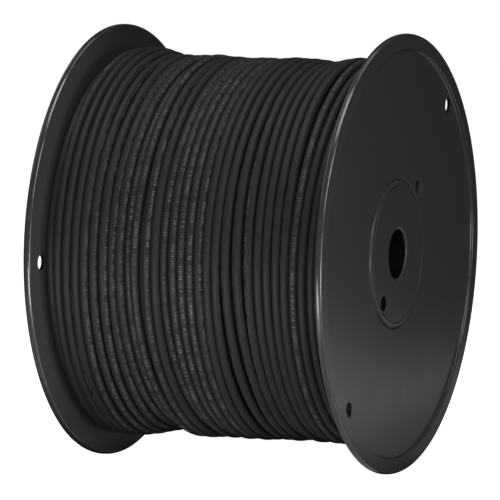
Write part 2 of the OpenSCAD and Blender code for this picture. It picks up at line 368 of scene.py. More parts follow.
def jacket_vinyl(props, ticks):
    """Matte charcoal jacket, with or without pale length ticks along it"""
    s = Shader("jacket_ticked" if ticks else "jacket_plain")
    place = s.place()
    cloud = s.noise(place, 120.0, 3.0, 0.55)
    patch = s.noise(place, 18.0, 2.0)
    grain = s.noise(place, 1500.0, 2.0, 0.6)
    dust = s.cells(place, 260.0).ramp(0.045, 0.015) * s.noise(place, 90.0, 1.0).ramp(0.48, 0.62)
    base = props.jacket_colour
    colour = s.mix(cloud, opaque(base, 0.90), opaque(base, 1.12))
    colour = s.mix(patch.ramp(0.35, 0.7) * 0.5, colour, opaque(base, 1.15))
    colour = s.mix(dust * 0.16, colour, opaque((0.30, 0.30, 0.29)))
    rough = 0.46 + cloud * 0.12
    if ticks:
        along = s.node("ShaderNodeUVMap", {"uv_map": "Along"})
        run, turn, _ = s.axes(along)
        # The ticks stand in rows, with a gap between rows, and some are a pair of short dashes. Millimetres:
        tick_step, row_length, girth = 1.45, 18.85, 17.9
        step = run / tick_step
        tick = step.floor()
        inside = (step.fraction() - 0.5).size().ramp(0.34, 0.20)
        shown = s.chance(tick).ramp(0.05, 0.45)
        row = (run / row_length).floor()
        gap = (run / row_length).fraction().ramp(0.84, 0.86, 1.0, 0.0)
        wide = 0.70 + s.chance(tick + 0.5) * 0.40
        across = ((turn - 0.5) * girth).size()
        band = (across - wide).ramp(0.12, -0.12)
        split = 1 - (s.chance(tick + 0.75) > 0.45) * across.ramp(0.42, 0.24)
        fade = 0.40 + 0.60 * s.chance(row + 0.25)
        worn = s.noise(place, 700.0, 2.0).ramp(0.30, 0.60)
        mark = inside * shown * gap * band * split * fade * (0.55 + worn * 0.45)
        colour = s.mix(mark, colour, opaque(props.print_colour))
    skin = s.bump(grain, 0.00005, 0.4, s.bump(cloud, 0.0003, 0.15))
    return s.finish(Base_Color=colour, Roughness=rough, Normal=skin, IOR=1.47, Specular_IOR_Level=0.2)


def wire_vinyl():
    """Insulation of the single wires, each in its own colour from the mesh"""
    s = Shader("wire_vinyl")
    place = s.place()
    tint = s.node("ShaderNodeVertexColor", {"layer_name": "Tint"})
    cloud = s.noise(place, 900.0, 3.0, 0.6)
    colour = s.mix(cloud * 0.25, tint, opaque((0.03, 0.03, 0.03)))
    rough = 0.35 + cloud * 0.25
    return s.finish(Base_Color=colour, Roughness=rough, Normal=s.bump(cloud, 0.00005, 0.5), IOR=1.46)


def drawn_copper():
    """Bare conductors with the bright scored face that cutters leave"""
    s = Shader("drawn_copper")
    place = s.place()
    scores = s.noise(s.stretched(place, (1.0, 1.0, 0.1)), 9000.0, 2.0, 0.6)
    tarnish = s.noise(place, 1200.0, 3.0)
    colour = s.mix(tarnish, opaque((0.62, 0.31, 0.17)), opaque((0.88, 0.52, 0.34)))
    rough = 0.25 + scores * 0.3
    return s.finish(Base_Color=colour, Roughness=rough, Metallic=1.0, Normal=s.bump(scores, 0.00002, 0.6))


# ---- Shapes ----


def new_object(name, points, faces):
    """A mesh object in the scene"""
    mesh = bpy.data.meshes.new(name)
    mesh.from_pydata([tuple(p) for p in points], [], [tuple(f) for f in faces])
    made = bpy.data.objects.new(name, mesh)
    bpy.context.scene.collection.objects.link(made)
    return made


def shade_smooth(mesh, smooth_angle=40):
    """Smooth shading, with sharp edges where faces meet at more than that many degrees"""
    mesh.polygons.foreach_set("use_smooth", [True] * len(mesh.polygons))
    mesh.set_sharp_from_angle(angle=math.radians(smooth_angle))


def add_piece(name, points, faces, material, smooth_angle=40):
    """A piece of the part, smooth where its faces meet gently"""
    piece = new_object(name, points, faces)
    shade_smooth(piece.data, smooth_angle)
    piece.data.materials.append(material)
    piece.data.update()
    return piece


def paint_faces(piece, material, facing, reach):
    """Gives a material to some faces.

    facing is the range of their normal's share along the axis, and reach of their distance from the axis."""
    piece.data.materials.append(material)
    for face in piece.data.polygons:
        away = math.hypot(face.center.x, face.center.z)
        if facing[0] < abs(face.normal.y) < facing[1] and reach[0] < away < reach[1]:
            face.material_index = len(piece.data.materials) - 1


def weigh_normals(piece):
    """Big flat faces keep a flat look where they run into rounded edges"""
    weighted = piece.modifiers.new("Weighted normals", "WEIGHTED_NORMAL")
    weighted.mode = "FACE_AREA"
    weighted.weight = 100
    weighted.keep_sharp = True


def arc(centre, radius, start, end, steps=8):
    """Points on an arc, angles in degrees"""
    angles = [math.radians(start + (end - start) * i / steps) for i in range(steps + 1)]
    return [(centre[0] + radius * math.cos(a), centre[1] + radius * math.sin(a)) for a in angles]


def circle(sides):
    """Angles of points set evenly round a circle"""
    return [2 * math.pi * k / sides for k in range(sides)]


def ease(u):
    """A smooth start and finish, for a share from 0 to 1"""
    return u * u * (3 - 2 * u)


def tube_faces(rings, sides):
    """Faces of a tube through rings of points, closed at both ends"""
    faces = []
    for i in range(rings - 1):
        for k in range(sides):
            m = (k + 1) % sides
            faces.append((i * sides + k, i * sides + m, (i + 1) * sides + m, (i + 1) * sides + k))
    last = (rings - 1) * sides
    faces.append(tuple(reversed(range(sides))))
    faces.append(tuple(last + k for k in range(sides)))
    return faces


def lathe(profile, steps, closed=True):
    """Points and faces of a profile of (radius, height) turned about Y, height along +Y"""
    radii, heights = np.array(profile, float).T
    angles = np.arange(steps) * 2 * math.pi / steps
    points = np.stack(
        [np.outer(np.cos(angles), radii), np.tile(heights, (steps, 1)), np.outer(np.sin(angles), radii)], -1
    ).reshape(-1, 3)
    n = len(profile)
    faces = []
    for i in range(steps):
        j = (i + 1) % steps
        for k in range(n if closed else n - 1):
            m = (k + 1) % n
            faces.append((i * n + k, i * n + m, j * n + m, j * n + k))
    return points, faces


def solid_lathe(name, profile, steps):
    """A cutter: a profile that starts and ends on its own axis, turned about Y"""
    points, faces = lathe(profile[1:-1], steps, closed=False)
    n = len(profile) - 2
    points = np.vstack([points, [(0, profile[0][1], 0), (0, profile[-1][1], 0)]])
    low, high = len(points) - 2, len(points) - 1
    for i in range(steps):
        j = (i + 1) % steps
        faces.append((low, i * n, j * n))
        faces.append((high, j * n + n - 1, i * n + n - 1))
    return new_object(name, points, faces)


def cut_holes(piece, cutters):
    """Takes the cutters out of a piece"""
    for cutter in cutters:
        hole = piece.modifiers.new("Hole", "BOOLEAN")
        hole.operation = "DIFFERENCE"
        hole.solver = "EXACT"
        hole.object = cutter
    graph = bpy.context.evaluated_depsgraph_get()
    cut = bpy.data.meshes.new_from_object(piece.evaluated_get(graph))
    piece.modifiers.clear()
    old = piece.data
    piece.data = cut
    bpy.data.meshes.remove(old)
    for cutter in cutters:
        bpy.data.objects.remove(cutter)
    weld(cut)
    shade_smooth(cut)


def weld(mesh):
    """Joins the points that a cut leaves almost on top of each other, and drops the faces between them"""
    work = bmesh.new()
    work.from_mesh(mesh)
    bmesh.ops.remove_doubles(work, verts=work.verts, dist=WELD)
    bmesh.ops.dissolve_degenerate(work, edges=work.edges, dist=WELD)
    work.to_mesh(mesh)
    work.free()


def dish_at(props, reach):
    """How far the dished web lies inwards at a distance from the axis"""
    step = props.flange_radius - props.rim_band
    return props.web_dish * (step - abs(reach)) / (step - props.barrel_radius)


def hole_cutter(props, lip, reach, turn):
    """A hole through the web, with a rounded lip on its outer side"""
    web, radius = props.web_thickness, props.tie_hole_radius
    flare = arc((radius + lip, web - lip), lip, 180, 90, 5)
    profile = [(0, -web), (radius, -web)] + flare + [(radius + lip, 2 * web), (0, 2 * web)]
    cutter = solid_lathe("hole", profile, 48)
    cutter.location = (reach * math.cos(turn), -dish_at(props, reach), reach * math.sin(turn))
    return cutter


def put_outside(piece, props, front, sunk=0.0):
    """Moves a piece drawn from height 0 to the front or the back flange's inner face, or sunk below it"""
    place = props.inner_face - sunk
    if front:
        turn = Matrix.Scale(-1, 4, Vector((0, 1, 0)))
        piece.data.transform(Matrix.Translation((0, -place, 0)) @ turn)
    else:
        piece.data.transform(Matrix.Translation((0, place, 0)))
    fix_facing(piece.data)


def fix_facing(mesh):
    """Turns the faces of a closed mesh outwards"""
    work = bmesh.new()
    work.from_mesh(mesh)
    bmesh.ops.recalc_face_normals(work, faces=work.faces)
    work.to_mesh(mesh)
    work.free()


# ---- Pieces ----


def flange(props, materials, front, turn):
    """One flange with its dished web, raised rim, tie holes and start hole, which is in the direction turn"""
    web = props.web_thickness
    rim = props.outer_face - props.inner_face
    outer = props.flange_radius
    step = outer - props.rim_band
    edge, foot, lip, floor = 0.5 * MM, 0.7 * MM, 0.6 * MM, 1.0 * MM
    r = props.rim_round
    dish, seat = props.web_dish, props.seat_radius
    # The rim's outside is crowned: its arc meets the rounded corners 20 degrees from its middle
    lean = math.radians(20)
    bow = (rim / 2 - r * (1 - math.sin(lean))) / math.sin(lean)
    corner = outer - r - (bow - r) * (1 - math.cos(lean))
    profile = (
        [(props.barrel_bore, -dish), (props.barrel_radius, -dish), (step, 0)]
        + arc((corner, r), r, -90, -20)
        + arc((outer - bow, rim / 2), bow, -20, 20, 10)[1:-1]
        + arc((corner, rim - r), r, 20, 90)
        + arc((step + edge, rim - edge), edge, 90, 180, 6)
        + arc((step - foot, web + foot), foot, 0, -90, 6)
        + arc((seat + lip, web - lip - dish_at(props, seat + lip)), lip, 90, 180, 6)
        + [(seat, floor - dish), (props.barrel_bore, floor - dish)]
    )
    name = "front_flange_body" if front else "back_flange_body"
    points, faces = lathe(profile, 288)
    piece = add_piece(name, points, faces, materials[0])
    fix_facing(piece.data)
    reaches = (-props.tie_hole_reach, props.tie_hole_reach, props.start_hole_reach)
    hole_lip = 0.5 * MM
    cut_holes(piece, [hole_cutter(props, hole_lip, reach, turn) for reach in reaches])
    put_outside(piece, props, front)
    paint_faces(piece, materials[1], facing=(0.36, 0.98), reach=(step - MM, 1))
    hole, at = props.tie_hole_radius + 0.1 * MM, props.tie_hole_reach
    # Painted shade: the tie holes' walls take the near-black material
    paint_faces(piece, materials[2], facing=(-1, 0.3), reach=(at - hole, at + hole))
    weigh_normals(piece)
    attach(piece, "root")
    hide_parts("front_flange" if front else "back_flange")


def part_lathe(profile, start, sweep, steps):
    """Points and faces of a profile turned part of the way round Y and closed at both ends"""
    points = []
    for i in range(steps + 1):
        a = start + sweep * i / steps
        points += [(radius * math.cos(a), height, radius * math.sin(a)) for radius, height in profile]
    return points, tube_faces(steps + 1, len(profile))


def box_part(low, high, turn):
    """Points and faces of a box that is turned about Y"""
    points = []
    c, s = math.cos(turn), math.sin(turn)
    for x in (low[0], high[0]):
        for y in (low[1], high[1]):
            for z in (low[2], high[2]):
                points.append((x * c - z * s, y, x * s + z * c))
    faces = [(0, 1, 3, 2), (4, 6, 7, 5), (0, 4, 5, 1), (2, 3, 7, 6), (0, 2, 6, 4), (1, 5, 7, 3)]
    return points, faces


def joined(parts):
    """Several lists of points and faces as one"""
    points, faces = [], []
    for more, cells in parts:
        base = len(points)
        points += [tuple(p) for p in more]
        faces += [tuple(base + i for i in f) for f in cells]
    return points, faces


def hub_disc(props, materials, front, turn):
    """One hub disc with its plug, ribs and arbor socket; turn is the drive hole's direction"""
    face = props.web_thickness + props.disc_rise
    back = face - props.disc_plate
    seat = 1.0 * MM
    r, m, bore = 1.9 * MM, props.mouth_round, props.bore_radius
    # A fine groove runs round the face, near its edge
    groove, groove_top, groove_foot, groove_depth = 41.9 * MM, 0.4 * MM, 0.25 * MM, 0.5 * MM
    profile = (
        [(bore, back), (props.plug_radius, back), (props.plug_radius, seat), (props.disc_radius, seat)]
        + arc((props.disc_radius - r, face - r), r, 0, 90, 8)
        + [(groove + groove_top, face), (groove + groove_foot, face - groove_depth)]
        + [(groove - groove_foot, face - groove_depth), (groove - groove_top, face)]
        + arc((bore + m, face - m), m, 90, 180, 10)
    )
    name = "front_hub_disc_body" if front else "back_hub_disc_body"
    points, faces = lathe(profile, 192)
    piece = add_piece(name, points, faces, materials[0])
    fix_facing(piece.data)
    drive, deep = props.drive_hole_radius, 10 * MM
    hole = solid_lathe("hole", [(0, -deep), (drive, -deep), (drive, deep), (0, deep)], 48)
    hole.location = (props.drive_hole_reach * math.cos(turn), 0, props.drive_hole_reach * math.sin(turn))
    cut_holes(piece, [hole])
    # The socket for the arbor tube, and six tabs with ribs, behind the plate
    inner, wall, end = 18.1 * MM, 2.6 * MM, back - 12 * MM
    parts = [lathe([(inner, back), (inner, end), (inner + wall, end), (inner + wall, back)], 96)]
    tab, tab_wall, tab_end = props.plug_radius - 0.3 * MM, 2.4 * MM, back - 10 * MM
    ring = [(tab - tab_wall, back), (tab, back), (tab, tab_end), (tab - tab_wall, tab_end)]
    tabs, sweep = 6, math.radians(42)
    rib_end, rib_half = back - 8 * MM, 1 * MM
    for i in range(tabs):
        middle = turn + math.radians(360 / tabs * i + 30)
        parts.append(part_lathe(ring, middle - sweep / 2, sweep, 12))
        rib_low = (inner + wall / 2, rib_end, -rib_half)
        parts.append(box_part(rib_low, (tab - tab_wall / 2, back, rib_half), middle))
    points, faces = joined(parts)
    # Painted shade: the socket, tabs and ribs behind the plate are near black
    rear = add_piece(name.replace("body", "rear"), points, faces, materials[1], 30)
    fix_facing(rear.data)
    for each in (piece, rear):
        put_outside(each, props, front, props.web_dish)
        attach(each, "root")
    # Painted shade: the walls of the arbor bore and the drive hole take the near-black material
    paint_faces(piece, materials[1], facing=(-1, 0.3), reach=(0, props.plug_radius - MM))
    weigh_normals(piece)
    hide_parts("front_hub_disc" if front else "back_hub_disc")


# Middle of each turn of the outer layer, front to back, in millimetres along the axis, at the
# directions in LAY_AT. No two turns lie alike.
LAY_AT = (95, 120, 150, 180, 210, 240)
LAY = (
    (-87.6, -87.3, -87.2, -86.0, -85.0, -83.8),
    (-82.6, -83.6, -82.0, -81.0, -79.6, -78.6),
    (-76.5, -77.8, -77.3, -75.8, -74.6, -73.3),
    (-70.0, -71.6, -71.3, -70.4, -69.1, -67.6),
    (-63.6, -63.6, -64.8, -65.3, -63.9, -61.8),
    (-58.0, -57.5, -58.5, -59.4, -58.6, -56.6),
    (-50.9, -50.8, -52.4, -53.3, -53.2, -51.8),
    (-45.2, -45.1, -46.6, -47.6, -47.7, -46.8),
    (-39.7, -39.8, -40.3, -41.6, -42.3, -41.7),
    (-33.6, -33.8, -33.4, -34.4, -36.4, -36.2),
    (-27.4, -27.5, -26.7, -26.9, -28.6, -29.0),
    (-21.5, -21.7, -20.9, -20.8, -20.6, -20.4),
    (-16.0, -15.9, -15.2, -15.3, -15.0, -14.2),
    (-10.8, -10.4, -9.3, -9.7, -9.6, -8.8),
    (-5.6, -5.3, -3.5, -4.1, -4.2, -3.5),
    (-0.2, 0.1, 1.8, 1.4, 1.1, 1.5),
    (5.3, 5.4, 7.3, 6.6, 6.3, 6.5),
    (10.7, 10.9, 12.9, 13.3, 12.6, 11.6),
    (16.6, 16.6, 18.1, 18.3, 18.4, 15.8),
    (22.4, 23.6, 24.0, 23.6, 23.8, 21.8),
    (26.0, 26.6, 27.4, 27.6, 26.8, 25.0),
    (29.6, 29.2, 30.2, 31.8, 30.6, 27.8),
    (33.6, 33.9, 35.4, 36.2, 35.8, 35.6),
    (38.0, 38.9, 41.1, 41.2, 41.4, 42.0),
    (44.0, 44.2, 46.4, 46.3, 46.9, 48.2),
    (50.6, 50.4, 52.5, 51.8, 52.9, 54.2),
    (57.6, 58.1, 58.7, 58.0, 59.2, 60.6),
    (63.4, 64.1, 64.0, 63.7, 65.2, 67.4),
    (69.0, 69.4, 69.4, 69.2, 70.6, 73.0),
    (75.0, 75.3, 75.3, 74.9, 76.4, 77.8),
    (81.0, 81.6, 81.2, 80.6, 82.1, 83.7),
)
# How far each turn lies above or below an even layer, in millimetres, at the directions in RISE_AT:
# some turns sank between their neighbours, and the last few lie on spare turns at the back
RISE_AT = (90, 180, 260)
RISE = (
    (0.0, 0.0, 0.0), (-0.6, -0.8, -0.8), (0.0, 0.0, 0.0), (1.0, 0.4, 0.6), (1.5, 0.6, 0.2),
    (0.5, 0.2, -0.3), (-1.1, -0.4, -0.5), (-1.4, -0.5, -0.9), (-0.6, -0.3, -0.5), (-0.1, 0.0, 0.5),
    (0.0, 0.0, 0.4), (0.2, 0.2, 0.8), (-0.4, 0.1, 1.3), (-0.7, 0.0, 1.1), (-0.6, 0.0, 1.0),
    (-0.6, 0.0, 0.8), (-1.0, 0.0, 0.8), (-1.0, -1.6, -0.5), (-0.6, 0.4, 1.0), (-1.4, 0.3, 2.0),
    (-2.6, -2.2, -1.6), (-1.2, 0.2, 1.2), (-1.6, -1.4, -2.8), (-0.8, 0.4, -3.2), (-0.6, -0.6, -0.4),
    (-0.4, 0.6, 0.9), (-0.4, 0.8, 2.5), (1.6, 1.6, 3.6), (3.2, 1.6, 3.9), (3.5, 2.0, 3.8),
    (2.4, 1.8, 2.8),
)


def lay_along(rows, at, steps):
    """A value for each step of the outer layer, from a row for each turn and a column for each direction.

    A turn crosses over to the next one's row on the far side."""
    count = len(rows)
    total = int((count - 1 + LEVEL_SHARE) * steps)
    at = np.array([LAYER_START] + list(at) + [LAYER_START + 360 * LEVEL_SHARE], float)
    rows = np.array([[row[0]] + list(row) + [row[-1]] for row in rows])
    values = np.zeros(total + 1)
    for k in range(total + 1):
        turn, part = divmod(k, steps)
        part /= steps
        values[k] = np.interp(min(part, LEVEL_SHARE) * 360 + LAYER_START, at, rows[turn])
        if part > LEVEL_SHARE and turn + 1 < count:
            u = (part - LEVEL_SHARE) / (1 - LEVEL_SHARE)
            values[k] += (rows[turn + 1][0] - values[k]) * ease(u)
    return smoothed(values, 6)


def settle(target, height, radius, steps):
    """Lets turns lie against each other: pulled to their place, pushed apart where they meet"""
    along, reach = target.copy(), height.copy()
    # Touching turns press into each other a little, and give way less along the axis than outwards
    touching, rounds, give = 2 * radius * 0.965, 260, 0.7
    pull_along, pull_reach, stiffness = 0.10, 0.05, 0.3
    for _ in range(rounds):
        for gap in (steps, 2 * steps):
            apart = along[gap:] - along[:-gap]
            rise = reach[gap:] - reach[:-gap]
            size = np.hypot(apart, rise)
            push = np.clip(touching - size, 0, None) / np.maximum(size, 1e-6) / 2
            move, lift = push * apart * give, push * rise
            along[gap:] += move
            along[:-gap] -= move
            reach[gap:] += lift
            reach[:-gap] -= lift
        along += pull_along * (target - along)
        reach += pull_reach * (height - reach)
        for values in (along, reach):
            values[1:-1] += stiffness * (values[:-2] + values[2:] - 2 * values[1:-1])
    return along, reach


def smoothed(values, times):
    """Values averaged with their neighbours, several times over"""
    out = np.array(values, float)
    for _ in range(times):
        out[1:-1] = (out[:-2] + 2 * out[1:-1] + out[2:]) / 4
    return out


def wound_tube(name, along, reach, angles, radius, sides, material, roll, rows):
    """A round tube wound about Y, through steps given in metres and radians, with a map along it.

    roll turns the map's middle line about the cable, and rows is how many turns the bake map holds."""
    ring = np.arange(sides) * 2 * math.pi / sides
    out = np.stack([np.cos(angles), np.zeros_like(angles), np.sin(angles)], 1)
    side = np.tile([0.0, 1.0, 0.0], (len(angles), 1))
    turned = ring[None, :] + roll[:, None]
    centres = out * reach[:, None] + side * along[:, None]
    points = (
        centres[:, None, :]
        + radius * np.cos(turned)[..., None] * out[:, None, :]
        + radius * np.sin(turned)[..., None] * side[:, None, :]
    ).reshape(-1, 3)
    n = len(angles)
    piece = add_piece(name, points, tube_faces(n, sides), material, 60)
    i, k = np.meshgrid(np.arange(n - 1), np.arange(sides), indexing="ij")
    i, k = i.ravel(), k.ravel()
    length = np.concatenate([[0], np.cumsum(np.linalg.norm(np.diff(centres, axis=0), axis=1))]) / MM
    # Side 0 of the tube is the middle of the map
    share = (k / sides + 0.5) % 1.0
    u = np.stack([length[i], length[i], length[i + 1], length[i + 1]], 1)
    v = np.stack([share, share + 1 / sides, share + 1 / sides, share], 1)
    write_map(piece, "Along", u, v)
    # One strip of the bake map for each turn, with a margin between strips. The length of a strip is a
    # little over an even share, so that the last step stays in the last strip.
    margin = 0.04
    per = length[-1] / rows * 1.0001
    row = np.floor((length[i] + 1e-6) / per)[:, None]
    corner = (k[:, None] + np.array([0, 1, 1, 0])) / sides
    strip = (row + margin + (1 - 2 * margin) * corner) / rows
    write_map(piece, "OFBake", ((u - row * per) / per).clip(0, 1), strip)
    return piece


def write_map(piece, name, u, v):
    """A map for a tube's faces: u and v have a row for each side face, and the two ends stay at 0"""
    ends = len(piece.data.loops) - u.size
    loops = np.concatenate([np.stack([u, v], -1).reshape(-1, 2), np.zeros((ends, 2))])
    piece.data.uv_layers.new(name=name).data.foreach_set("uv", loops.ravel())


def outer_layer(props, material):
    """The layer of turns that shows, from the front flange to the back one"""
    steps = props.steps
    target = lay_along(LAY, LAY_AT, steps)
    height = props.wound_radius / MM + lay_along(RISE, RISE_AT, steps)
    along, reach = settle(target, height, props.radius / MM, steps)
    turn = np.arange(len(target)) / steps
    angles = np.radians(LAYER_START + 360 * turn)
    # The ticks face outwards on some turns and lie hidden on others
    roll = np.interp(turn, *zip(*TICK_ROLL))
    # The first turn climbs out of the layer below, over this share of a turn
    climbing = 0.16
    reach -= props.layer_step / MM * (1 - ease(np.clip(turn / climbing, 0, 1)))
    # The last turn comes down to the finish end, which runs straight on from it
    start, _, outwards = finish_spot(props)
    sinking = 0.15
    down = ease(np.clip((turn - turn[-1]) / sinking + 1, 0, 1))
    along += down * (start.y / MM - along)
    reach += down * (start.dot(outwards) / MM - reach)
    shape = (along * MM, reach * MM, angles, props.radius, props.sides)
    piece = wound_tube("cable_outer_turns", *shape, material, roll, len(LAY))
    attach(piece, "root")
    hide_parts("cable_outer_layer")


# Turn number, and the direction of the ticks about the cable: 0 is outwards, positive towards the back
TICK_ROLL = (
    (0.0, 2.6), (2.6, 1.9), (3.25, -0.2), (3.38, -0.3), (3.9, 0.6), (4.25, 0.8), (4.38, 0.9),
    (5.2, 2.4), (7.6, 2.6), (8.3, 0.6), (8.4, 0.6), (8.9, 1.2), (9.4, 0.95), (9.55, 0.8),
    (10.2, 1.3), (10.5, 0.9), (10.6, 0.8), (11.2, 2.0), (12.2, 1.8), (12.7, 0.6), (13.3, -0.9),
    (13.45, -0.8), (13.65, -0.1), (14.2, -0.6), (14.4, -0.4), (14.65, 0.1), (15.2, -0.7),
    (15.4, -0.3), (15.65, 0.1), (16.2, -0.8), (16.4, -0.4), (16.65, 0.0), (17.2, -0.9),
    (17.4, -0.4), (17.6, -0.5), (18.0, -1.6), (18.3, -2.0), (18.8, -2.0), (19.2, -1.4),
    (19.45, -0.4), (19.65, -0.2), (20.2, -0.9), (20.4, -0.6), (20.6, -0.3), (21.2, -0.7),
    (21.5, -0.3), (22.3, -0.4), (22.5, -0.3), (23.3, -0.9), (23.6, -0.6), (24.3, -1.0),
    (24.45, -0.7), (24.6, -0.9), (25.0, -1.8), (25.4, -1.2), (25.6, -0.2), (26.2, -1.5),
    (26.6, -0.6), (27.2, -1.6), (27.6, -0.3), (28.2, 1.9), (28.6, 0.3), (29.2, 1.6), (29.9, 0.6),
    (30.15, 0.2), (30.25, 0.0), (30.45, 1.8), (31.0, 2.6),
)


def inner_layers(props, reel, material):
    """The layer under the outer one, turn by turn, over a plain core that never shows"""
    steps, count, sides = 72, 31, 12
    rng = np.random.default_rng(11)
    # The end turns stand clear of the flanges, which are dished. Millimetres and degrees from here on:
    clear = 0.85
    half = INNER_FACE / MM - props.radius / MM - clear
    pitch = 2 * half / (count - 1)
    total = int((count - 1 + LEVEL_SHARE) * steps)
    k = np.arange(total + 1)
    turn, part = k // steps, (k % steps) / steps
    u = np.clip((part - LEVEL_SHARE) / (1 - LEVEL_SHARE), 0, 1)
    target = half - pitch * (turn + ease(u))
    # The turns wander a little, to a new place every few steps
    every, wander = 18, 0.35
    knots = np.arange(0, total + 2 * every, every)
    drift = np.interp(k, knots, rng.normal(0, wander, len(knots)))
    target = np.clip(target + smoothed(drift, 8), -half, half)
    height = (props.wound_radius - props.layer_step) / MM
    # Spare turns lie under the last ones at the back
    hill_start, hill_run, hill_height = 54, 12, 2.4
    spare = hill_height * ease(np.clip((target - hill_start) / hill_run, 0, 1))
    # but not under the finish end
    dip_width, dip_start, dip_run = 28, 72, 6
    around = (LAYER_START + 360 * part + 180 - FINISH_AT) % 360 - 180
    spare *= 1 - np.exp(-((around / dip_width) ** 4)) * np.clip((target - dip_start) / dip_run, 0, 1)
    along, reach = settle(target, height + spare, props.radius / MM, steps)
    # No turn stands higher over its place than this, and the core ends this far below the turns' middles
    highest, core_below = 0.5, 0.6
    reach = np.minimum(reach, height + spare + highest)
    angles = np.radians(LAYER_START + 360 * k / steps)
    shape = (along * MM, reach * MM, angles, props.radius, sides)
    layer = wound_tube("cable_under_turns", *shape, material, np.zeros(total + 1), count)
    core = (height - core_below) * MM
    top = core + hill_height * MM
    barrel_end, core_end, top_end = (INNER_FACE - dish_at(reel, r) for r in (reel.barrel_radius, core, top))
    profile = [
        (reel.barrel_radius, -barrel_end), (reel.barrel_radius, barrel_end), (top, top_end),
        (top, (hill_start + hill_run) * MM), (core, hill_start * MM), (core, -core_end),
    ]
    points, faces = lathe(profile, 192)
    bulk = add_piece("cable_bulk", points, faces, material, 30)
    fix_facing(bulk.data)
    for each in (layer, bulk):
        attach(each, "root")
    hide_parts("cable_inner_layers")


def finish_spot(props):
    """Start and direction of the finish end, and the direction from the axis out to it"""
    turn = math.radians(FINISH_AT)
    outwards = Vector((math.cos(turn), 0, math.sin(turn)))
    ahead = Vector((-math.sin(turn), 0, math.cos(turn)))
    middle = (FINISH_LOW + FINISH_HIGH) / 2
    return middle - ahead * props.end_length / 2, ahead, outwards


def nipped_jacket(spot, length, depth, radius, wall, mouth):
    """Points and faces of a jacket's cut end, nipped flat by the cutters.

    spot is the end's origin and its narrow, long and lengthwise directions, and mouth is the share of the
    cable's width that is left at the cut."""
    origin, narrow, long, axis = spot
    sides = 40
    outer = [(0, h) for h in np.linspace(0, length - 0.2 * MM, 5)]
    lip = [(0.06 * MM, length - 0.08 * MM), (0.25 * MM, length), (wall - 0.2 * MM, length - 0.03 * MM)]
    inner = [(wall, h) for h in np.linspace(length - 0.15 * MM, length - depth, 5)]
    points = []
    # Share of the wall that the nip doesn't squeeze
    firm = 0.6
    for inset, h in outer + lip + inner:
        nip = 1 - (1 - mouth) * max(h / length, 0) ** 1.5
        for a in circle(sides):
            wide = (radius * nip - inset * (firm + (1 - firm) * nip)) * math.cos(a)
            tall = (radius - inset) * math.sin(a)
            points.append(origin + narrow * wide + long * tall + axis * h)
    return points, tube_faces(len(points) // sides, sides)


# Colours of the four pairs: the wire and its pale mate
PAIR_COLOURS = (
    ((0.02, 0.07, 0.30), (0.36, 0.42, 0.50)),
    ((0.10, 0.045, 0.02), (0.42, 0.36, 0.30)),
    ((0.01, 0.14, 0.04), (0.36, 0.45, 0.36)),
    ((0.62, 0.20, 0.02), (0.50, 0.42, 0.34)),
)
# Row of the nipped mouth that each pair lies in
PAIR_ROWS = (2, 3, 1, 0)
WIRE_SIDES = 14


def wire_rods(spot, low, high, radius, room):
    """Eight rods, two for each pair: they stand in a circle at the bottom and in two files at the cut"""
    origin, narrow, long, axis = spot
    # Half the distance between mates, the circle's radius, the distance of rows, and the wires' rounded ends
    gap, spread, row_step, rounding = radius * 1.05, room * 0.57, 2.4 * radius, 0.12
    rings = [(low + (high - low) * i / 6, 1.0) for i in range(6)]
    rings += [(high - radius * rounding, 1.0), (high, 1 - rounding)]
    parts, tints = [], []
    for pair, row in enumerate(PAIR_ROWS):
        turn = math.radians(20 + 90 * pair)
        for tint, sign in zip(PAIR_COLOURS[pair], (-1, 1)):
            bottom = np.array((
                spread * math.cos(turn) - sign * gap * math.sin(turn),
                spread * math.sin(turn) + sign * gap * math.cos(turn),
            ))
            top = np.array((sign * gap, (row - 1.5) * row_step))
            points = []
            for h, size in rings:
                x, y = bottom + (top - bottom) * ease((h - low) / (high - low))
                for a in circle(WIRE_SIDES):
                    wide, tall = x + radius * size * math.cos(a), y + radius * size * math.sin(a)
                    points.append(origin + narrow * wide + long * tall + axis * h)
            faces = tube_faces(len(rings), WIRE_SIDES)
            parts.append((points, faces))
            tints += [tint] * len(faces)
    points, faces = joined(parts)
    return points, faces, tints


